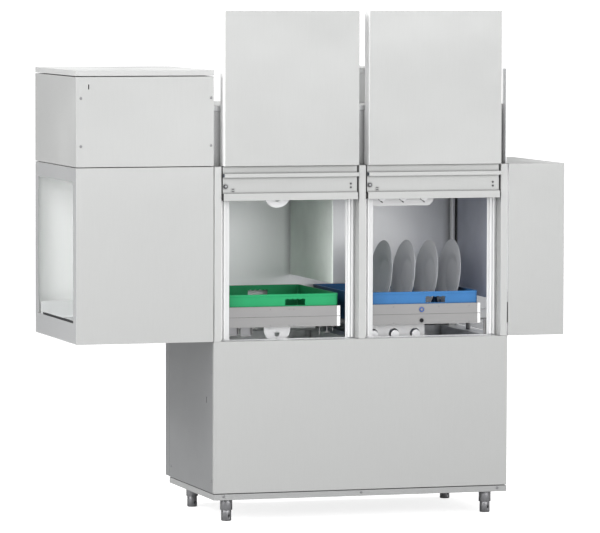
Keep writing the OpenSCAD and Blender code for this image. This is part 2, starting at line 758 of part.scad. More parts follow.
module screw_x(y, z) rod_x([-1.5, 0], y, z, 9);

module cover_screws() color("dimgray") {
    for (x = [-507, -12], z = [tunnel_top + 79, tunnel_top + 255])
        screw_y(x, z);
    for (x = [38, 573, 1112])
        screw_y(x, foot_h + 14);
    for (p = [[29, 550], [593, 149], [29, 151]])
        screw_x(p[0], p[1]);
}

// A wall connector: neck through the rear sheet, flange behind it and a plain end for the hose
module connector(x, d, wall, length) difference() {
    union() {
        rod_y(x, [body_d - 30, body_d + 3], stub_z, d - 2);
        rod_y(x, [body_d - sheet - gap - 4, body_d - sheet - gap], stub_z, d + 14);
        rod_y(x, [body_d + 2, body_d + length], stub_z, d);
    }
    rod_y(x, [body_d - 31, body_d + length + 1], stub_z, d - 2 * wall);
}

module service_stubs() color("silver") {
    connector(drain_x, drain_d, 3, 58);
    connector(inlet_x, inlet_d, 4, 40);
    difference() {
        union() {
            rod_y(gland_x, [body_d - 12, body_d + 22], stub_z, gland_d);
            translate([gland_x, body_d, stub_z]) rotate([-90, 0, 0]) cylinder(d = 44, h = 8, $fn = 6);
        }
        rod_y(gland_x, [body_d - 13, body_d + 23], stub_z, 18);
    }
}

place() base_frame();
place() base_tray();
place() cabinet_front();
place() cabinet_left();
place() cabinet_right();
place() cabinet_rear();
place() service_chase();
place() foot_sleeves();
place() foot_stems();
place() tunnel_deck();
place() wash_tank();
place() rinse_tank();
place() strainer_trays();
place() tank_heaters();
place() booster_heater();
place() electrical_box();
place() wash_pump();
place() wash_impeller();
place() pump_pipes();
place() wash_arms();
place() rinse_arms();
place() spray_end_plates();
place() rack_rails();
place() rail_studs();
place() carriage_slides();
place() carriage();
place() pawl_wash();
place() pawl_rinse();
place() gearmotor();
place() crank();
place() door_posts();
place() front_frame();
place() door_guides();
place() tunnel_walls();
place() tunnel_roof();
place() dryer_housing();
place() entry_hood();
place() entry_hood_end();
place() recovery_front();
place() recovery_shell();
place() recovery_cap();
place() recovery_coil();
place() recovery_fan();
place() fan_wheel();
place() exit_hood();
place() curtain_rods();
place() curtain_entry();
place() curtain_middle();
place() curtain_exit();
place() door_left_skin();
place() door_left_liner();
place() door_left_handle();
place() door_right_skin();
place() door_right_liner();
place() door_right_handle();
place() rack_green();
place() rack_blue();
place() plates();
place() cover_screws();
place() service_stubs();
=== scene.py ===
"""Looks of the rack-conveyor dishwasher: sheet metal, racks, plates, curtains, light and camera."""

import json
import math

import bmesh
import bpy
from mathutils import Matrix, Quaternion, Vector


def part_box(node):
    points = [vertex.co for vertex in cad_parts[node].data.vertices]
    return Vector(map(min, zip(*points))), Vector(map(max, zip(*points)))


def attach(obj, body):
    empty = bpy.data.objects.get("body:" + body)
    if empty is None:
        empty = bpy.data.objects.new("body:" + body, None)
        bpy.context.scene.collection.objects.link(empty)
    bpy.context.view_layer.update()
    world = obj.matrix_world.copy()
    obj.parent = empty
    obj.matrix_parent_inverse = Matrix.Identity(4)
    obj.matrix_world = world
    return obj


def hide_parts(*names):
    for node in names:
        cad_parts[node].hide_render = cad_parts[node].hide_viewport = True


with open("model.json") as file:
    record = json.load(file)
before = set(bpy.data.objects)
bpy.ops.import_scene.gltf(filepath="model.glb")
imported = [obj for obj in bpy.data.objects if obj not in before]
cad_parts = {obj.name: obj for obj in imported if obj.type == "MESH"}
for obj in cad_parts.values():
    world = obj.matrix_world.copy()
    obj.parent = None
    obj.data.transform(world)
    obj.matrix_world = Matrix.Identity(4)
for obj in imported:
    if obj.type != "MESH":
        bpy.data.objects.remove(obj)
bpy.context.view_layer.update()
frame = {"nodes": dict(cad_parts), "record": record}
NODES = frame["nodes"]
BODY_OF = {n: body for body, members in frame["record"]["behaviour"]["bodies"].items() for n in members}
SLOT_OF = {s["node"]: s["material_slot"] for s in frame["record"]["subparts"]}
MM = 0.001


# ---- Node materials ----

def new_material(name):
    """A plain shaded node material, with its node tree and its shader."""
    material = bpy.data.materials.new(name)
    material.use_nodes = True
    tree = material.node_tree
    tree.nodes.clear()
    shader = tree.nodes.new("ShaderNodeBsdfPrincipled")
    output = tree.nodes.new("ShaderNodeOutputMaterial")
    tree.links.new(shader.outputs["BSDF"], output.inputs["Surface"])
    return material, tree, shader


def noise(tree, scale, stretch=(1, 1, 1), detail=4.0, roughness=0.55):
    """Noise over the object's own coordinates, stretched along the axes."""
    where = tree.nodes.new("ShaderNodeTexCoord")
    mapping = tree.nodes.new("ShaderNodeMapping")
    mapping.inputs["Scale"].default_value = stretch
    texture = tree.nodes.new("ShaderNodeTexNoise")
    texture.inputs["Scale"].default_value = scale
    texture.inputs["Detail"].default_value = detail
    texture.inputs["Roughness"].default_value = roughness
    tree.links.new(where.outputs["Object"], mapping.inputs["Vector"])
    tree.links.new(mapping.outputs["Vector"], texture.inputs["Vector"])
    return texture.outputs["Fac"]


def spread(tree, value, low, high):
    """Maps a 0..1 noise value to low..high."""
    node = tree.nodes.new("ShaderNodeMapRange")
    node.inputs["From Min"].default_value = 0.3
    node.inputs["From Max"].default_value = 0.7
    node.inputs["To Min"].default_value = low
    node.inputs["To Max"].default_value = high
    tree.links.new(value, node.inputs["Value"])
    return node.outputs["Result"]


def between(tree, value, dark, light):
    """Colour from dark to light as the noise value rises."""
    ramp = tree.nodes.new("ShaderNodeValToRGB")
    ramp.color_ramp.elements[0].position = 0.3
    ramp.color_ramp.elements[1].position = 0.7
    ramp.color_ramp.elements[0].color = (*dark, 1)
    ramp.color_ramp.elements[1].color = (*light, 1)
    tree.links.new(value, ramp.inputs["Fac"])
    return ramp.outputs["Color"]


def bump(tree, shader, value, strength, distance):
    """Raises the surface by the noise value."""
    node = tree.nodes.new("ShaderNodeBump")
    node.inputs["Strength"].default_value = strength
    node.inputs["Distance"].default_value = distance
    tree.links.new(value, node.inputs["Height"])
    tree.links.new(node.outputs["Normal"], shader.inputs["Normal"])


def shade(colour, factor):
    """The colour, lighter or darker by a factor."""
    return tuple(min(1.0, c * factor) for c in colour)


def painted_crease_shade(tree, colour, shade_reach):
    """The colour, darker in seams and folds: painted shade, from ambient occlusion within the reach."""
    node = tree.nodes.new("ShaderNodeAmbientOcclusion")
    node.samples = 6
    node.inputs["Distance"].default_value = shade_reach
    tree.links.new(colour, node.inputs["Color"])
    return node.outputs["Color"]


def above(tree, level, low, high):
    """The colour high above a height, and low below it, with a short blend."""
    where = tree.nodes.new("ShaderNodeTexCoord")
    split = tree.nodes.new("ShaderNodeSeparateXYZ")
    step = tree.nodes.new("ShaderNodeMapRange")
    mix = tree.nodes.new("ShaderNodeMix")
    mix.data_type = "RGBA"
    step.inputs["From Min"].default_value = level - 0.02
    step.inputs["From Max"].default_value = level + 0.02
    tree.links.new(where.outputs["Object"], split.inputs["Vector"])
    tree.links.new(split.outputs["Z"], step.inputs["Value"])
    tree.links.new(step.outputs["Result"], mix.inputs["Factor"])
    tree.links.new(low, mix.inputs["A"])
    tree.links.new(high, mix.inputs["B"])
    return mix.outputs["Result"]


def brushed(name, colour, rough, grain=(700, 700, 14), metal=1.0, shade_reach=0.0, shade_from=0.0):
    """Brushed stainless steel: fine lines, soft clouds where it was handled, and painted shade in its
    seams.

    With a height given, the painted seam shade is there only above that height.
    """
    material, tree, shader = new_material(name)
    lines = noise(tree, 1.0, grain, detail=3.0)
    clouds = noise(tree, 2.2, (1, 1, 1.6), detail=5.0)
    tone = between(tree, lines, shade(colour, 0.985), shade(colour, 1.015))
    crease_shaded = painted_crease_shade(tree, tone, shade_reach) if shade_reach else tone
    base = above(tree, shade_from, tone, crease_shaded) if shade_from else crease_shaded
    tree.links.new(base, shader.inputs["Base Color"])
    tree.links.new(spread(tree, clouds, rough - 0.05, rough + 0.06), shader.inputs["Roughness"])
    shader.inputs["Metallic"].default_value = metal
    shader.inputs["Anisotropic"].default_value = 0.35
    bump(tree, shader, lines, 0.2, 0.00001)
    return material


def plastic(name, colour, rough, coat=0.0, shade_reach=0.0, gloss=0.5):
    """Moulded plastic: slightly uneven colour, a fine grained skin and, with a reach, painted shade in its
    hollows.
    """
    material, tree, shader = new_material(name)
    skin = noise(tree, 180.0, detail=5.0)
    tone = between(tree, noise(tree, 9.0, detail=3.0), shade(colour, 0.94), shade(colour, 1.06))
    tree.links.new(painted_crease_shade(tree, tone, shade_reach) if shade_reach else tone, shader.inputs["Base Color"])
    tree.links.new(spread(tree, skin, rough - 0.05, rough + 0.07), shader.inputs["Roughness"])
    shader.inputs["Coat Weight"].default_value = coat
    shader.inputs["Coat Roughness"].default_value = 0.25
    shader.inputs["Specular IOR Level"].default_value = gloss
    bump(tree, shader, skin, 0.12, 0.0002)
    return material


def painted(name, colour):
    """Sprayed paint with a light orange-peel skin."""
    material, tree, shader = new_material(name)
    peel = noise(tree, 320.0, detail=2.0)
    tone = noise(tree, 6.0, detail=3.0)
    mottled = between(tree, tone, shade(colour, 0.93), shade(colour, 1.05))
    tree.links.new(mottled, shader.inputs["Base Color"])
    tree.links.new(spread(tree, peel, 0.34, 0.44), shader.inputs["Roughness"])
    shader.inputs["Coat Weight"].default_value = 0.3
    bump(tree, shader, peel, 0.2, 0.0003)
    return material


def ceramic(name, colour):
    """Glazed porcelain: near-white body under a clear, slightly wavy glaze."""
    material, tree, shader = new_material(name)
    body = noise(tree, 14.0, detail=4.0)
    glaze = noise(tree, 26.0, detail=2.0)
    mottled = between(tree, body, shade(colour, 0.97), shade(colour, 1.03))
    tree.links.new(mottled, shader.inputs["Base Color"])
    tree.links.new(spread(tree, glaze, 0.32, 0.38), shader.inputs["Roughness"])
    shader.inputs["Coat Weight"].default_value = 0.35
    shader.inputs["Coat Roughness"].default_value = 0.12
    bump(tree, shader, glaze, 0.03, 0.0003)
    return material


def rubber(name, colour):
    """Flexible curtain sheet, slightly translucent, with a fine fabric-backed weave."""
    material, tree, shader = new_material(name)
    weave = noise(tree, 420.0, (1, 1, 0.35), detail=3.0)
    tone = noise(tree, 5.0, detail=4.0)
    mottled = between(tree, tone, shade(colour, 0.9), shade(colour, 1.1))
    tree.links.new(mottled, shader.inputs["Base Color"])
    tree.links.new(spread(tree, weave, 0.36, 0.5), shader.inputs["Roughness"])
    shader.inputs["Subsurface Weight"].default_value = 0.1
    shader.inputs["Subsurface Radius"].default_value = (0.004, 0.004, 0.004)
    bump(tree, shader, weave, 0.25, 0.0002)
    return material


# The steels are one brushed steel in lighter and darker copies, which paint light and shade: panel_side,
# end_steel and base_steel are darker for sides in shade, and inner_steel, frame_steel, jamb_steel and
# hood_inner are lighter for faces that catch the light.
FINISH = {
    "panel_steel": brushed("panel_steel", (0.50, 0.505, 0.50), 0.46, metal=0.55, shade_reach=0.008),
    "panel_side": brushed("panel_side", (0.26, 0.265, 0.27), 0.46, metal=0.55, shade_reach=0.008),
    "end_steel": brushed("end_steel", (0.44, 0.445, 0.45), 0.46, metal=0.55, shade_reach=0.008),
    "base_steel": brushed("base_steel", (0.42, 0.425, 0.425), 0.46, metal=0.55, shade_reach=0.008),
    "post_steel": brushed("post_steel", (0.54, 0.545, 0.54), 0.46, metal=0.4),
    "jamb_steel": brushed("jamb_steel", (0.985, 0.99, 0.995), 0.46, metal=0.25),
    "frame_steel": brushed("frame_steel", (0.78, 0.785, 0.79), 0.46, metal=0.3, shade_reach=0.03, shade_from=1.2),
    "hood_inner": brushed("hood_inner", (0.97, 0.972, 0.972), 0.46, metal=0.2),
    "inner_steel": brushed("inner_steel", (0.95, 0.955, 0.965), 0.38, metal=0.45, shade_reach=0.03),
    "structure_steel": brushed("structure_steel", (0.34, 0.337, 0.337), 0.44, grain=(14, 300, 300),
                               metal=0.6, shade_reach=0.008),
    "spray_steel": brushed("spray_steel", (0.80, 0.80, 0.81), 0.36, grain=(300, 300, 300), metal=0.6),
    "rinse_steel": brushed("rinse_steel", (0.60, 0.60, 0.605), 0.36, grain=(300, 300, 300), metal=0.6),
    "bright_steel": brushed("bright_steel", (0.26, 0.26, 0.27), 0.30, grain=(200, 200, 900)),
    "machine_paint": painted("machine_paint", (0.06, 0.08, 0.11)),
    "fin_metal": brushed("fin_metal", (0.78, 0.72, 0.66), 0.36, grain=(60, 900, 60)),
    "curtain_rubber": rubber("curtain_rubber", (0.78, 0.83, 0.79)),
    "curtain_dark": rubber("curtain_dark", (0.58, 0.60, 0.69)),
    "knob_plastic": plastic("knob_plastic", (0.008, 0.008, 0.010), 0.45, gloss=0.3),
    "slide_plastic": plastic("slide_plastic", (0.80, 0.80, 0.77), 0.45),
    "stud_plastic": plastic("stud_plastic", (0.03, 0.12, 0.50), 0.3, coat=0.4),
    "rack_green_plastic": plastic("rack_green_plastic", (0.018, 0.37, 0.14), 0.42, shade_reach=0.12, gloss=0.25),
    "rack_blue_plastic": plastic("rack_blue_plastic", (0.05, 0.205, 0.49), 0.42, shade_reach=0.12, gloss=0.25),
    "plate_ceramic": ceramic("plate_ceramic", (0.76, 0.77, 0.79)),
    "mark_steel": brushed("mark_steel", (0.10, 0.10, 0.105), 0.4, grain=(300, 300, 300)),
    "screw_steel": brushed("screw_steel", (0.30, 0.30, 0.31), 0.3, grain=(300, 300, 300)),
}


# ---- Pieces ----

# Where the row frame has the main body's left side and the cabinet's front, in millimetres
BODY_X, BODY_Y = -425, -331


def at(x, y, z):
    """A point given in millimetres from the main body's left side, the cabinet's front and the floor."""
    return Vector(((x + BODY_X) * MM, (y + BODY_Y) * MM, z * MM))


# Places that several pieces share, measured as for at(): the racks' underside, the first plate and the
# spacing of the pegs (with a plate at every second gap), the rinse tubes' middles, the end plates' middle,
# the front rails' face, edges and seam, and the line between the wash and rinse zones
RACK_Z, PLATE_X, PEG_PITCH = 735, 768, 45.5
LOWER_TUBES, UPPER_TUBES = (659, 742, 825), (690, 773, 856)
END_PLATE_Y = 119.5
RAIL_Y, RAIL_LOW, RAIL_SEAM, RAIL_TOP = 66, 717, 754.5, 793
ZONE_LINE = 600


def finish_piece(mesh, name, body, slot, replaced=(), finish=None):
    """Puts a mesh in the scene as a piece of the object, with its material and body."""
    piece = bpy.data.objects.new(name, mesh)
    bpy.context.scene.collection.objects.link(piece)
    mesh.materials.clear()
    mesh.materials.append(FINISH[finish or slot])
    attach(piece, body)
    if replaced:
        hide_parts(*replaced)
    return piece


def applied(mesh, *modifiers):
    """The mesh after these modifiers, each given as (type, settings)."""
    holder = bpy.data.objects.new("holder", mesh)
    bpy.context.scene.collection.objects.link(holder)
    for kind, settings in modifiers:
        modifier = holder.modifiers.new(kind.lower(), kind)
        for key, value in settings.items():
            setattr(modifier, key, value)
    depsgraph = bpy.context.evaluated_depsgraph_get()
    result = bpy.data.meshes.new_from_object(holder.evaluated_get(depsgraph))
    bpy.data.objects.remove(holder)
    return result


def bevel_settings(width, segments, angle):
    """A bevel on the edges where faces turn by more than the angle."""
    return {"width": width, "segments": segments, "limit_method": "ANGLE",
            "angle_limit": math.radians(angle), "use_clamp_overlap": True}


def bevelled(mesh, width, segments):
    """The mesh with rounded edges, its flat faces shaded flat."""
    rounded_off = applied(smooth(mesh), ("BEVEL", bevel_settings(width, segments, 35)))
    return applied(smooth_sharp(rounded_off, 50), ("WEIGHTED_NORMAL", {"weight": 100, "keep_sharp": True}))


def cut(mesh, cutter):
    """The mesh with another mesh taken out of it."""
    tool = bpy.data.objects.new("cutter", cutter)
    bpy.context.scene.collection.objects.link(tool)
    result = applied(mesh, ("BOOLEAN", {"operation": "DIFFERENCE", "object": tool, "solver": "EXACT"}))
    bpy.data.objects.remove(tool)
    return result


def clean_copy(node):
    """A CAD node's mesh with its flat faces whole again, ready for bevels."""
    mesh = NODES[node].data.copy()
    bm = bmesh.new()
    bm.from_mesh(mesh)
    bmesh.ops.remove_doubles(bm, verts=bm.verts, dist=0.00001)
    bmesh.ops.dissolve_limit(bm, angle_limit=math.radians(0.6), verts=bm.verts, edges=bm.edges)
    bm.to_mesh(mesh)
    bm.free()
    return mesh


def smooth(mesh):
    """The mesh, with every face shaded smooth."""
    for face in mesh.polygons:
        face.use_smooth = True
    return mesh


def softened(node, width, segments, finish=None):
    """A CAD node with its folded and cut edges rounded off."""
    mesh = clean_copy(node)
    for axis, side, amount in REVEALS.get(node, ()):
        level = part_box(node)[side][axis]
        for vertex in mesh.vertices:
            if abs(vertex.co[axis] - level) < 0.0005:
                vertex.co[axis] += amount
    piece = finish_piece(bevelled(mesh, width, segments), node + "_shape", BODY_OF[node], SLOT_OF[node],
                         [node], finish)
    if node in PARTLY:
        other, chosen = PARTLY[node]
        piece.data.materials.append(FINISH[other])
        for face in piece.data.polygons:
            face.material_index = 1 if chosen(face.center, *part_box(node)) else 0
    return piece


def smooth_sharp(mesh, angle=40):
    """Smooth shading with creases kept where faces turn by more than the angle."""
    smooth(mesh)
    mesh.set_sharp_from_angle(angle=math.radians(angle))
    return mesh


class Builder:
    """Collects closed shapes, in metres in the row frame, into one mesh."""

    def __init__(self):
        self.bm = bmesh.new()

    def mesh(self, name):
        result = bpy.data.meshes.new(name)
        bmesh.ops.recalc_face_normals(self.bm, faces=self.bm.faces)
        self.bm.to_mesh(result)
        self.bm.free()
        return result

    def block(self, low, high):
        corners = [self.bm.verts.new((x, y, z)) for x in (low[0], high[0]) for y in (low[1], high[1])
                   for z in (low[2], high[2])]
        for face in ((0, 1, 3, 2), (4, 6, 7, 5), (0, 4, 5, 1), (2, 3, 7, 6), (0, 2, 6, 4), (1, 5, 7, 3)):
            self.bm.faces.new([corners[i] for i in face])

    def loft(self, rings, capped=True):
        """Joins rings of points, all of the same count, into a closed skin."""
        rows = [[self.bm.verts.new(p) for p in ring] for ring in rings]
        count = len(rows[0])
        for low, high in zip(rows, rows[1:]):
            for i in range(count):
                j = (i + 1) % count
                self.bm.faces.new((low[i], low[j], high[j], high[i]))
        if capped:
            self.bm.faces.new(rows[0][::-1])
            self.bm.faces.new(rows[-1])
        else:
            for i in range(count):
                j = (i + 1) % count
                self.bm.faces.new((rows[-1][i], rows[-1][j], rows[0][j], rows[0][i]))

    def lathe(self, profile, place=Matrix(), segments=32):
        """Turns (radius, height) pairs about Z. The profile's two ends are closed by flat discs."""
        turns = [2 * math.pi * k / segments for k in range(segments)]
        self.loft([[place @ Vector((radius * math.cos(a), radius * math.sin(a), height)) for a in turns]
                   for radius, height in profile])


FRONT = (0, -1, 0)


def facing(point, direction):
    """Placement at a point, with local Z along a direction."""
    turn = Vector(direction).to_track_quat("Z", "Y").to_matrix().to_4x4()
    return Matrix.Translation(point) @ turn


def rounded(low, high, radius, steps=5):
    """Corner points of a rounded rectangle between two (x, y) corners, anticlockwise."""
    points = []
    left, right = low[0] + radius, high[0] - radius
    front, back = low[1] + radius, high[1] - radius
    for cx, cy, start in ((right, back, 0), (left, back, 90), (left, front, 180), (right, front, 270)):
        for k in range(steps + 1):
            a = math.radians(start + 90 * k / steps)
            points.append((cx + radius * math.cos(a), cy + radius * math.sin(a)))
    return points


# Screw head and rivet as (radius, height) in millimetres
DOME = [(4.5, -0.3), (4.5, 0.5), (4.1, 1.1), (3.2, 1.7), (1.8, 2.1), (0.4, 2.2)]
RIVET = [(2.2, -0.3), (2.2, 0.2), (1.8, 0.7), (1.0, 1.0), (0.3, 1.05)]


def scaled(profile, factor=1.0):
    """A profile in millimetres, in metres and scaled by a factor."""
    return [(r * MM * factor, h * MM * factor) for r, h in profile]


def make_screws():
    """Domed screws with a cross recess, in place of the plain heads."""
    heads, crosses = Builder(), Builder()
    side = (-1, 0, 0)
    wide, slim = 2.6, 0.45
    cross = [(-slim, wide), (-slim, slim), (-wide, slim), (-wide, -slim), (-slim, -slim), (-slim, -wide),
             (slim, -wide), (slim, -slim), (wide, -slim), (wide, slim), (slim, slim), (slim, wide)]
    spots = [(at(x, 0, z), FRONT) for x in (-507, -12) for z in (1399, 1575)]
    spots += [(at(x, 0, 96), FRONT) for x in (38, 573, 1112)]
    spots += [(at(0, y, z), side) for y, z in ((29, 550), (593, 149), (29, 151))]
    for point, way in spots:
        place = facing(point, way)
        heads.lathe(scaled(DOME), place, 24)
        crosses.loft([[place @ Vector((x * MM, y * MM, z * MM)) for x, y in cross] for z in (0.9, 3.0)])
    mesh = cut(smooth(heads.mesh("screws")), crosses.mesh("crosses"))
    finish_piece(mesh, "cover_screw_heads", "root", "screw_steel", ["cover_screws"])


def make_rivets():
    """Small rivets along the front rails."""
    dots = Builder()
    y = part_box("rack_rails")[0][1]
    for x in (237, 311, 328.5, 720, 900, 1020):
        for z in (RAIL_LOW + 5, RAIL_TOP - 10):
            dots.lathe(scaled(RIVET, 0.9), facing(Vector((at(x, 0, z).x, y, z * MM)), FRONT), 16)
    finish_piece(smooth(dots.mesh("rivets")), "rivets", "root", "screw_steel")


def make_studs():
    """Blue ring and dark knob on the rinse rail."""
    ring, knob, disc = Builder(), Builder(), Builder()
    lo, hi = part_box("rail_studs")
    middle = (lo[0] + hi[0]) / 2
    upper = facing(Vector((middle, hi[1], 0.7715)), FRONT)
    lower = facing(Vector((middle, hi[1], 0.7305)), FRONT)
    ring.lathe(scaled([(9, 0), (9, 2.2), (8.4, 2.9), (6.2, 2.9), (5.6, 2.2), (5.6, 0.8), (3, 0.6),
                       (0.5, 0.5)]), upper, 40)
    knob.lathe(scaled([(7.5, 0), (7.5, 2.2), (6.8, 3), (3.6, 3), (3.2, 2.4), (0.5, 2.3)]), lower, 32)
    disc.lathe(scaled([(5.4, 0.4), (5.4, 1.4), (4.8, 1.9), (0.5, 2.0)]), upper, 32)
    finish_piece(smooth(ring.mesh("stud_ring")), "stud_ring", "root", "stud_plastic", ["rail_studs"])
    finish_piece(smooth(knob.mesh("stud_knob")), "stud_knob", "root", "machine_paint",
                 finish="knob_plastic")
    finish_piece(smooth(disc.mesh("stud_disc")), "stud_disc", "root", "structure_steel")


def make_feet():
    """Polished sleeve and adjustable foot, with a turned edge, a thread and a cross hole for a bar."""
    lo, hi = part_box("foot_sleeves")
    radius = 0.023
    xs, ys = (lo[0] + radius, hi[0] - radius), (lo[1] + radius, hi[1] - radius)
    sleeves, stems, holes = Builder(), Builder(), Builder()
    thread = [(18.6 - 0.5 * (k % 2), 44 + k * 0.75) for k in range(25)]
    stem = [(14, 0), (16.6, 0.2), (18.2, 1.2), (19, 3.2), (19, 37.6), (18.6, 38.6), *thread,
            (18, 64), (1, 64)]
    sleeve = [(19.3, 81.6), (19.6, 82), (22.6, 82), (23, 81.2), (23, 42.3), (22.8, 41.5), (22.2, 41),
              (20.2, 41), (19.3, 42), (19.3, 64)]
    hole_height, hole = 0.0205, [(3.4, -13), (3.4, 30)]
    for x in xs:
        for y in ys:
            base = Matrix.Translation((x, y, 0))
            sleeves.lathe(scaled(sleeve), base, 64)
            stems.lathe(scaled(stem), base, 64)
            holes.lathe(scaled(hole), facing(Vector((x, y, hole_height)), (0.35, -1, 0)), 24)
    finish_piece(smooth(sleeves.mesh("foot_sleeves_turned")), "foot_sleeves_turned", "root", "bright_steel",
                 ["foot_sleeves"])
    mesh = cut(smooth(stems.mesh("foot_stems_turned")), holes.mesh("foot_holes"))
    finish_piece(mesh, "foot_stems_turned", "root", "bright_steel", ["foot_stems"])


def make_rack(node, pegs):
    """Moulded rack: flanged walls, a hand hole in each side, and a fine grid floor."""
    (x0, y0, z0), (x1, y1, _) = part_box(node)
    walls = Builder()
    section = [(0.0, 0.0), (0.0, 0.007), (0.0008, 0.0078), (0.0009, 0.094), (0.0003, 0.0955), (0.0, 0.097),
               (0.0, 0.1032), (0.0008, 0.104), (0.0056, 0.104), (0.0064, 0.1032), (0.0062, 0.0),
               (0.0058, 0.0)]
    rings = []
    for inset, height in section:
        outline = rounded((x0 + inset, y0 + inset), (x1 - inset, y1 - inset), 0.012 - inset * 0.8)
        rings.append([(px, py, z0 + height) for px, py in outline])
    walls.loft(rings, capped=False)
    mesh = walls.mesh(node + "_walls")
    holes = Builder()
    mid_x, mid_y = (x0 + x1) / 2, (y0 + y1) / 2

    def hand_hole(cx, cy, along_x):
        """Cuts two opposite walls, with a scalloped upper edge for the fingers."""
        scallops = [(39 - 78 * k / 24, 87 - 3.5 * abs(math.cos(math.pi * k * 4 / 24)))
                    for k in range(1, 24)]
        outline = [(-39, 62), (39, 62), (39, 84)] + scallops + [(-39, 84)]
        for side in (-1, 1):
            rings = []
            for depth in (0.235, 0.265):
                ring = []
                for u, h in outline:
                    if along_x:
                        ring.append((cx + u * MM, cy + side * depth, z0 + h * MM))
                    else:
                        ring.append((cx + side * depth, cy + u * MM, z0 + h * MM))
                rings.append(ring)
            holes.loft(rings)

    hand_hole(mid_x + 0.081, mid_y, True)
    hand_hole(mid_x, mid_y, False)
    mesh = cut(mesh, holes.mesh(node + "_holes"))
    shape = Builder()
    shape.bm.from_mesh(mesh)
    # Floor grid, with every fourth bar a wide one
    for k in range(29):
        offset = 0.012 + 0.017 * k
        wide = 0.004 if k % 4 == 0 else 0.0013
        tall = 0.006 if k % 4 == 0 else 0.0045
        shape.block((x0 + offset - wide, y0 + 0.005, z0), (x0 + offset + wide, y1 - 0.005, z0 + tall))
        shape.block((x0 + 0.005, y0 + offset - wide, z0 + 0.0003),
                    (x1 - 0.005, y0 + offset + wide, z0 + tall - 0.0003))
    # Pegs that the plates lean on
    for k in range(-1, 7) if pegs else ():
        for j in range(1, 7):
            base = Matrix.Translation(at(PLATE_X - 16 + PEG_PITCH * k, 81 + 68 * j, RACK_Z))
            shape.lathe(scaled([(3, 5), (2.6, 30), (2.1, 54), (1.6, 57), (0.7, 58)]), base, 12)
    mesh = shape.mesh(node + "_moulded")
    shaped = applied(mesh, ("BEVEL", bevel_settings(0.0005, 2, 50)))
    finish_piece(shaped, node + "_moulded", BODY_OF[node], SLOT_OF[node], [node])


def make_plates():
    """Four glazed plates, turned with a foot ring, a well and a raised rim."""
    upper = [(0.5, 5.2), (52, 5.2), (60, 5.6), (66, 6.8), (73, 9.4), (82, 13.2), (96, 15.6), (118, 18.0),
             (134, 19.9), (136.3, 20.0), (137.4, 19.3)]
    lower = [(137.4, 18.3), (136, 17.2), (118, 14.2), (96, 11.4), (84, 9.0), (76, 5.4), (70, 2.6),
             (66.5, 0.8), (65, 0.0), (62.5, 0.0), (61, 1.0), (58, 1.6), (0.5, 1.6)]
    plates = Builder()
    lean = Matrix.Rotation(math.radians(7 - 90), 4, "Y")
    for i in range(4):
        place = Matrix.Translation(at(PLATE_X + 2 * PEG_PITCH * i, 319, 880.5))
        plates.lathe(scaled(upper + lower), place @ lean, 96)
    mesh = applied(smooth(plates.mesh("plates_turned")), ("SUBSURF", {"levels": 1, "render_levels": 1}))
    finish_piece(smooth(mesh), "plates_turned", BODY_OF["plates"], "plate_ceramic", ["plates"])


def make_curtain(node):
    """Flexible sheet that hangs from a hinge sleeve, with a soft wave towards its lower edge."""
    lo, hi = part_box(node)
    x = (lo[0] + hi[0]) / 2
    sleeve_r = (hi[0] - lo[0]) / 2
    wide = hi[1] - lo[1]
    half = 0.001
    sleeve, hang = Builder(), Builder()
    sleeve.lathe([(sleeve_r - 0.0026, 0), (sleeve_r, 0.0006), (sleeve_r, wide - 0.0006),
                  (sleeve_r - 0.0026, wide)], facing(Vector((x, lo[1], hi[2] - sleeve_r)), (0, 1, 0)), 32)
    hinge = finish_piece(smooth(sleeve.mesh(node + "_sleeve")), node + "_sleeve", BODY_OF[node],
                         "curtain_rubber")
    rings = []
    rows, columns = 24, 40
    for k in range(rows + 1):
        drop = k / rows
        z = hi[2] - sleeve_r + (lo[2] - hi[2] + sleeve_r) * drop
        front, back = [], []
        for j in range(columns + 1):
            y = lo[1] + wide * j / columns
            swell, ripple = math.sin(9 * j / columns + 0.6), math.sin(23 * j / columns + 2.1)
            wave = (0.0016 * swell + 0.0007 * ripple) * drop
            front.append((x + wave - half, y, z))
            back.append((x + wave + half, y, z))
        rings.append(front + back[::-1])
    hang.loft(rings)
    mesh = smooth_sharp(hang.mesh(node + "_sheet"), 50)
    sheet = finish_piece(mesh, node + "_sheet", BODY_OF[node], "curtain_rubber", [node],
                         "curtain_dark" if node == "curtain_exit" else None)


def make_spray_plates():
    """End plates of the spray tubes, with clearance round the lower rinse tubes and slots above, with dark
    blocks in the slots as painted shade.
    """
    holes, slot_shades = Builder(), Builder()
    for x in LOWER_TUBES:
        holes.lathe(scaled([(19.5, -8), (19.5, 8)]), facing(at(x - 3.5, END_PLATE_Y, 679), FRONT), 40)
    for x in UPPER_TUBES:
        lean = Matrix.Translation(at(x - 6, END_PLATE_Y, 1180)) @ Matrix.Rotation(math.radians(40), 4, "Y")
        # Each upper slot gets a hole through the plate and a thin dark block in its middle, as painted
        # shade.
        for shape, half in ((holes, 0.008), (slot_shades, 0.0005)):
            placed = [lean @ Vector((sx * 0.011, y, sz * 0.0022)) for y in (-half, half)
                      for sx, sz in ((-1, -1), (1, -1), (1, 1), (-1, 1))]
            shape.loft([placed[:4], placed[4:]])
    mesh = smooth_sharp(cut(clean_copy("spray_end_plates"), holes.mesh("plate_holes")), 30)
    body = BODY_OF["spray_end_plates"]
    finish_piece(mesh, "spray_end_plates_cut", body, "spray_steel", ["spray_end_plates"])
    mesh.materials.append(FINISH["rinse_steel"])
    for face in mesh.polygons:
        face.material_index = 1 if face.center.x > at(ZONE_LINE, 0, 0).x else 0
    finish_piece(slot_shades.mesh("slot_shade_blocks"), "slot_shade_blocks", body, "spray_steel", finish="knob_plastic")


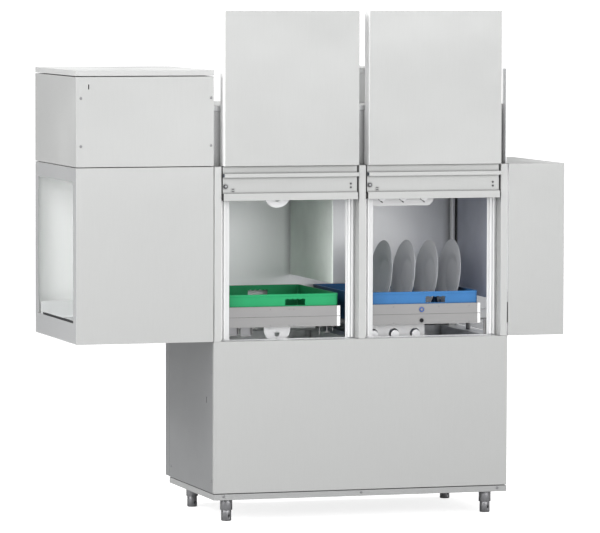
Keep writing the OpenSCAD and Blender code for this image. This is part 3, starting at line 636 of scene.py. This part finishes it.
def make_door_details(node):
    """Ring bolt, slots and screws on the folded part of a door, the slots as dark blocks of painted shade,
    and a dark block in the open end of its handle bar as painted shade.
    """
    lo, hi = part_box(node)
    recess_y = 7
    face = at(0, recess_y, 0).y
    marks_and_slot_shades, boss, bar_end_shade = Builder(), Builder(), Builder()
    ring = facing(Vector((lo[0] + 0.010, face - 0.005, lo[2] + 0.052)), FRONT)
    marks_and_slot_shades.lathe(scaled([(7.8, -4.8), (7.8, 0.4), (7.4, 0.8), (6.4, 0.8), (6.2, 0.4), (0.5, 0.4)]),
                ring, 32)
    boss.lathe(scaled([(5, 0.3), (5, 1.8), (4.4, 2.6), (0.5, 2.8)]), ring, 32)
    # The two slots are dark blocks on the face: painted shade.
    for dz in (34, 42):
        low = Vector((lo[0] + 0.034, face - 0.0018, lo[2] + (dz - 1.3) * MM))
        marks_and_slot_shades.block(low, low + Vector((0.010, 0.0018, 0.0026)))
    for dz in (44, 58):
        marks_and_slot_shades.lathe(scaled([(3.4, -1.9), (3.4, 0.3), (2.8, 0.7), (0.4, 0.9)]),
                    facing(Vector((hi[0] - 0.024, face - 0.002, lo[2] + dz * MM)), FRONT), 20)
    # Dark block inside the handle bar's open end: painted shade.
    bar_end_shade.block(Vector((lo[0] + 0.0015, lo[1] + 0.0018, lo[2] + 0.0878)),
               Vector((lo[0] + 0.006, face - 0.0018, lo[2] + 0.0982)))
    finish_piece(smooth_sharp(marks_and_slot_shades.mesh(node + "_marks_and_slot_shades")), node + "_marks_and_slot_shades", BODY_OF[node], "screw_steel",
                 finish="mark_steel")
    finish_piece(smooth_sharp(boss.mesh(node + "_boss")), node + "_boss", BODY_OF[node], "screw_steel")
    finish_piece(smooth_sharp(bar_end_shade.mesh(node + "_end_shade")), node + "_end_shade", BODY_OF[node],
                 "machine_paint")


def make_rail_ends():
    """Rounded end of each zone's front rail, in a near-white finish that paints the highlight on its bend.
    """
    ends = Builder()
    for right, length in ((510, 13), (1065, 12)):
        bend = [(-length, 0.2), (0.5 - length, -0.7), (-2.5, -0.7), (-0.4, 0), (0.3, 0.7), (0.3, 1.3),
                (-0.2, 1.3), (-0.2, 0.2)]
        for low, high in ((RAIL_LOW, RAIL_SEAM - 0.9), (RAIL_SEAM + 0.9, RAIL_TOP)):
            ends.loft([[at(right + x, RAIL_Y + y, z) for x, y in bend] for z in (low, high)])
    finish_piece(smooth_sharp(ends.mesh("rail_ends")), "rail_ends", "root", "structure_steel",
                 finish="jamb_steel")


def make_rail_fittings():
    """Clips and hanging studs below the wash rail."""
    plates, clips, studs = Builder(), Builder(), Builder()
    front, back = 82, 92
    for left, right, low in ((70, 119, 686), (126, 172, 684)):
        plates.block(at(left, back, low), at(right, back + 2, RAIL_LOW))
        clips.block(at(left, front, low), at(left + 2, back, RAIL_LOW))
        clips.block(at(right - 2, front, low + 4), at(right, back, RAIL_LOW))
        clips.block(at(left + 2, front, low), at(right - 10, back, low + 2))
    strip = [at(x, y, z) for x, y, z in ((166, 84, 716), (196, 84, 706), (196, 104, 706), (166, 104, 716))]
    clips.loft([strip, [p + Vector((0, 0, 0.003)) for p in strip]])
    for x, low in ((433, 684), (462, 691), (484, 697)):
        length = RAIL_LOW - low
        stud = [(1.0, 0), (1.4, 0.8), (1.4, 6), (3, 6), (3, 9), (1.4, 9), (1.4, length), (0.5, length)]
        studs.lathe(scaled(stud), Matrix.Translation(at(x, 80, low)), 16)
    studs.block(at(450, 79, 692), at(474, 81, 693.5))
    finish_piece(smooth_sharp(plates.mesh("rail_clip_plates")), "rail_clip_plates", "root",
                 "structure_steel", finish="screw_steel")
    finish_piece(smooth_sharp(clips.mesh("rail_clips")), "rail_clips", "root", "structure_steel")
    finish_piece(smooth_sharp(studs.mesh("rail_hangers")), "rail_hangers", "root", "structure_steel")


def make_sill_shade():
    """Dark strip behind the sill of the entry opening: painted shade for the gap along the sill."""
    strip = Builder()
    strip.block(at(-521.8, 47, 740), at(-519.4, 520, 756))
    finish_piece(smooth_sharp(strip.mesh("entry_sill_shade")), "entry_sill_shade", "root", "curtain_rubber",
                 finish="knob_plastic")


def make_nozzles():
    """Fan jets along the rinse tubes."""
    jets = Builder()
    jet = [(7, 14), (7, 18), (5.6, 19), (5.6, 23), (4.4, 24.5), (1.6, 24.5), (1.4, 23.6), (0.4, 23.5)]
    for tubes, z, way in ((LOWER_TUBES, 676, 1), (UPPER_TUBES, 1195, -1)):
        for x in tubes:
            for y in range(160, 461, 75):
                jets.lathe(scaled(jet), facing(at(x, y, z), (0, 0, way)), 20)
    finish_piece(smooth(jets.mesh("rinse_jets")), "rinse_jets", "root", "spray_steel")


# Sheet edges drawn back at a joint, as (axis, low 0 or high 1, amount): the shadow line of a folded seam
X, Y, Z = range(3)
REVEALS = {"recovery_front": ((Z, 0, 0.0026), (Z, 1, -0.0012), (X, 1, -0.0012)),
           "recovery_shell": ((Z, 0, 0.0022), (Z, 1, -0.0012)),
           "recovery_cap": ((Z, 0, 0.0016),),
           "cabinet_front": ((Z, 0, 0.002),),
           "cabinet_left": ((Z, 0, 0.0012), (Y, 1, -0.0018)),
           "entry_hood": ((X, 1, -0.0015),),
           "exit_hood": ((X, 0, 0.0015),),
           "door_left_skin": ((Z, 0, 0.0016),),
           "door_right_skin": ((Z, 0, 0.0016),)}
SHEET_NODES = ["cabinet_front", "cabinet_left", "cabinet_right", "cabinet_rear", "base_tray",
               "service_chase", "entry_hood", "entry_hood_end", "exit_hood", "recovery_front",
               "recovery_shell", "recovery_cap", "door_left_skin", "door_right_skin", "dryer_housing",
               "tunnel_roof", "door_posts"]
THIN_NODES = ["door_left_handle", "door_right_handle", "front_frame", "rack_rails", "tunnel_deck",
              "door_guides", "door_left_liner", "door_right_liner", "strainer_trays", "service_stubs",
              "tunnel_walls"]
# Finishes in place of a node's slot; frame_steel, jamb_steel, end_steel and base_steel paint light and
# shade as lighter and darker copies of the steel.
FINISH_OF = {"recovery_shell": "panel_steel", "front_frame": "frame_steel", "door_guides": "jamb_steel",
             "door_posts": "post_steel", "dryer_housing": "post_steel", "recovery_cap": "post_steel",
             "entry_hood_end": "end_steel", "base_tray": "base_steel"}


def inside(point, low, high):
    """Whether a face is within the sleeve of a hood."""
    return all(low[k] + 0.0015 < point[k] < high[k] - 0.0015 for k in (Y, Z))


def left_edge(point, low, high):
    """Whether a face is on the left side of its node."""
    return point.x < low[X] + 0.001


def rear(point, low, high):
    """Whether a face is at the back of its node."""
    return point.y > high[Y] - 0.001


def top(point, low, high):
    """Whether a face is on top of its node."""
    return point.z > high[Z] - 0.001


def by_walls(point, low, high):
    """Whether a face of the rails is in the entry or along the back wall."""
    return point.x < at(-1, 0, 0).x or point.y > at(0, 500, 0).y


# Faces of a node with another finish: near-white, dull inner sides of the hoods as painted light, plain
# outer sheet, bright folded edges on the doors' left sides as a painted reflection, and lighter rails in
# the entry and along the back wall as painted light
PARTLY = {"entry_hood": ("hood_inner", inside), "exit_hood": ("hood_inner", inside),
          "door_left_skin": ("hood_inner", left_edge), "door_right_skin": ("hood_inner", left_edge),
          "door_left_liner": ("panel_steel", rear), "door_right_liner": ("panel_steel", rear),
          "tunnel_walls": ("panel_steel", rear), "tunnel_roof": ("panel_steel", top),
          "rack_rails": ("frame_steel", by_walls)}
ROUND_NODES = ["wash_arms", "rinse_arms", "pump_pipes"]


def dress_cad_nodes():
    """Every CAD node gets its finish; the ones in sight also get rounded edges."""
    for node, obj in NODES.items():
        obj.data.materials.clear()
        obj.data.materials.append(FINISH[SLOT_OF[node]])
    groups = ((SHEET_NODES, 0.0009, 3), (THIN_NODES, 0.0005, 2), (ROUND_NODES, 0.0008, 2))
    for nodes, width, segments in groups:
        for node in nodes:
            softened(node, width, segments, FINISH_OF.get(node))


# ---- Light, floor and camera ----

def make_world():
    """Even white studio: a white backdrop, and light that is stronger from the front and above."""
    world = bpy.data.worlds.new("studio")
    bpy.context.scene.world = world
    world.use_nodes = True
    tree = world.node_tree
    tree.nodes.clear()
    where = tree.nodes.new("ShaderNodeTexCoord")
    dot = tree.nodes.new("ShaderNodeVectorMath")
    dot.operation = "DOT_PRODUCT"
    dot.inputs[1].default_value = Vector((0.35, -0.75, 0.55)).normalized()
    strength = tree.nodes.new("ShaderNodeMapRange")
    strength.inputs["From Min"].default_value = -1.0
    strength.inputs["From Max"].default_value = 1.0
    strength.inputs["To Min"].default_value = 0.35
    strength.inputs["To Max"].default_value = 1.0
    light = tree.nodes.new("ShaderNodeBackground")
    backdrop = tree.nodes.new("ShaderNodeBackground")
    backdrop.inputs["Color"].default_value = (1, 1, 1, 1)
    path = tree.nodes.new("ShaderNodeLightPath")
    mix = tree.nodes.new("ShaderNodeMixShader")
    output = tree.nodes.new("ShaderNodeOutputWorld")
    tree.links.new(where.outputs["Generated"], dot.inputs[0])
    tree.links.new(dot.outputs["Value"], strength.inputs["Value"])
    tree.links.new(strength.outputs["Result"], light.inputs["Strength"])
    tree.links.new(path.outputs["Is Camera Ray"], mix.inputs["Fac"])
    tree.links.new(light.outputs["Background"], mix.inputs[1])
    tree.links.new(backdrop.outputs["Background"], mix.inputs[2])
    tree.links.new(mix.outputs["Shader"], output.inputs["Surface"])


def area_light(name, place, target, size, power):
    data = bpy.data.lights.new(name, "AREA")
    data.shape = "RECTANGLE"
    data.size, data.size_y = size
    data.energy = power
    light = bpy.data.objects.new(name, data)
    bpy.context.scene.collection.objects.link(light)
    light.location = place
    light.rotation_mode = "QUATERNION"
    light.rotation_quaternion = (Vector(target) - Vector(place)).to_track_quat("-Z", "Y")
    return light


def make_floor():
    """Plain pale floor, far wider than the object."""
    bm = bmesh.new()
    bmesh.ops.create_grid(bm, x_segments=1, y_segments=1, size=260)
    mesh = bpy.data.meshes.new("floor")
    bm.to_mesh(mesh)
    bm.free()
    floor = bpy.data.objects.new("floor", mesh)
    bpy.context.scene.collection.objects.link(floor)
    material, tree, shader = new_material("floor_paint")
    tone = noise(tree, 0.8, detail=2.0)
    tree.links.new(between(tree, tone, (0.58, 0.58, 0.58), (0.60, 0.60, 0.60)), shader.inputs["Base Color"])
    shader.inputs["Roughness"].default_value = 0.9
    shader.inputs["Emission Color"].default_value = (1, 1, 1, 1)
    path = tree.nodes.new("ShaderNodeLightPath")
    glow = tree.nodes.new("ShaderNodeMapRange")
    glow.inputs["To Min"].default_value = 0.04
    glow.inputs["To Max"].default_value = 0.8
    tree.links.new(path.outputs["Is Camera Ray"], glow.inputs["Value"])
    tree.links.new(glow.outputs["Result"], shader.inputs["Emission Strength"])
    mesh.materials.append(material)


def make_camera():
    """A long lens from the front left, slightly above, as the photograph was taken."""
    yaw, pitch, roll = math.radians(17.03), math.radians(-3.76), math.radians(0.14)
    view = Vector((math.sin(yaw) * math.cos(pitch), math.cos(yaw) * math.cos(pitch), math.sin(pitch)))
    data = bpy.data.cameras.new("camera")
    data.lens = 274.9
    data.sensor_width = 36.0
    data.clip_end = 1000.0
    camera = bpy.data.objects.new("camera", data)
    bpy.context.scene.collection.objects.link(camera)
    camera.location = (-5.066, -16.566, 2.062)
    camera.rotation_mode = "QUATERNION"
    camera.rotation_quaternion = view.to_track_quat("-Z", "Y") @ Quaternion((0, 0, 1), roll)
    bpy.context.scene.camera = camera


dress_cad_nodes()
make_screws()
make_rivets()
make_studs()
make_feet()
make_rack("rack_green", pegs=False)
make_rack("rack_blue", pegs=True)
make_plates()
for node in ("curtain_entry", "curtain_middle", "curtain_exit"):
    make_curtain(node)
make_spray_plates()
make_nozzles()
make_rail_ends()
make_rail_fittings()
make_sill_shade()
make_door_details("door_left_handle")
make_door_details("door_right_handle")
make_world()
make_floor()
area_light("key", (-3.5, -7.0, 3.4), (0, 0, 1.2), (3, 3), 100)
area_light("front", (2.8, -7.0, 2.5), (0.1, 0, 1.1), (5.5, 3), 134)
area_light("top", (0.0, 2.0, 5.0), (0, 0, 1.3), (5, 3), 140)
area_light("left", (-5.0, -1.0, 4.6), (-0.9, 0, 1.1), (3, 3), 210)
area_light("entry", (-4.4, -1.6, 1.9), (-0.9, 0.1, 1.0), (2.6, 2.6), 60)
make_camera()
bpy.context.scene.view_settings.view_transform = "Standard"
